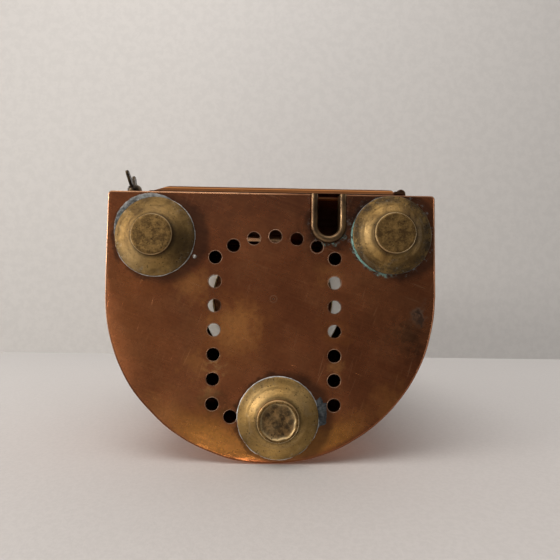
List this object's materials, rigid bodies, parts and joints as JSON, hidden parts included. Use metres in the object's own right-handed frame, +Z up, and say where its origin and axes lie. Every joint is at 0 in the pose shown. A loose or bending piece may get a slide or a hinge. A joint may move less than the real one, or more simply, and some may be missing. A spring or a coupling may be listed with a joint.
{
  "type": "masthead lantern",
  "caption": "D-shaped copper and brass ship's masthead lantern on three feet, with a ribbed 225 degree lens, back door and paraffin lamp.",
  "frame": {"origin": "centre of the bounding box at the level the three feet stand on", "axes": "+Z up, -Y the way the lens faces, +Y the flat back with the door, +X the lantern's own left as it faces -Y"},
  "size_m": [0.2386, 0.1884, 0.3786],
  "materials": {
    "copper": "aged sheet copper, brown patina rubbed bright in places",
    "brass": "spun and cast brass, dull olive gold with pits and bright edges",
    "glass": "clear pressed glass",
    "catch_metal": "blackened brass",
    "wick_cotton": "woven cotton"
  },
  "bodies": {
    "case": {"base_plate": "copper", "lower_wall": "copper", "back_wall": "copper", "lens_floor": "copper", "lens_roof": "copper", "screen_left": "copper", "screen_right": "copper", "upper_wall": "copper", "crown": "copper", "chimney_drum": "copper", "inner_chimney": "copper", "cowl": "copper", "cap": "copper", "lamp_tray": "copper", "foot_left": "brass", "foot_right": "brass", "foot_front": "brass", "slot_liner": "brass", "lens_ring_low": "brass", "lens_ring_high": "brass", "guard_rod_1": "brass", "guard_rod_2": "brass", "guard_rod_3": "brass", "guard_rod_4": "brass", "guard_rod_5": "brass", "guard_hoop": "brass", "bail_lug_left": "brass", "bail_lug_right": "brass", "stay_lug_1": "brass", "stay_lug_2": "brass", "stay_lug_3": "brass", "stay_lug_4": "brass", "hinge_leaf_low": "brass", "hinge_leaf_high": "brass", "hinge_pin": "brass", "catch_boss": "brass", "oil_font": "brass", "burner": "brass", "lens": "glass", "lamp_glass": "glass"},
    "door": {"door": "copper"},
    "catch": {"wing_catch": "catch_metal"},
    "bail": {"bail": "brass"},
    "wick_knob": {"wick_knob": "brass"},
    "wick": {"wick": "wick_cotton"},
    "filler_cap": {"filler_cap": "brass"}
  },
  "joints": [
    {"name": "door_swing", "type": "hinge", "parent": "case", "child": "door", "pos_m": [-0.0864, 0.08019, 0.134], "axis": [0, 0, 1], "range_deg": [0, 150]},
    {"name": "catch_turn", "type": "hinge", "parent": "case", "child": "catch", "pos_m": [0.095, 0.08079, 0.0298], "axis": [0, -1, 0], "range_deg": [0, 90]},
    {"name": "bail_swing", "type": "hinge", "parent": "case", "child": "bail", "pos_m": [0, 0.01079, 0.314], "axis": [-1, 0, 0], "range_deg": [0, 185]},
    {"name": "wick_turn", "type": "hinge", "parent": "case", "child": "wick_knob", "pos_m": [0, 0.04079, 0.154], "axis": [0, 1, 0], "range_deg": [-120, 120]},
    {"name": "wick_rise", "type": "slide", "parent": "case", "child": "wick", "axis": [0, 0, 1], "range_m": [-0.0064, 0.0064]},
    {"name": "filler_cap_turn", "type": "hinge", "parent": "case", "child": "filler_cap", "pos_m": [0, -0.01121, 0.128], "axis": [0, 0, 1], "range_deg": [0, 360]}
  ],
  "couplings": [
    {"joint": "wick_rise", "follows": "wick_turn", "m_per_rad": 0.003}
  ]
}
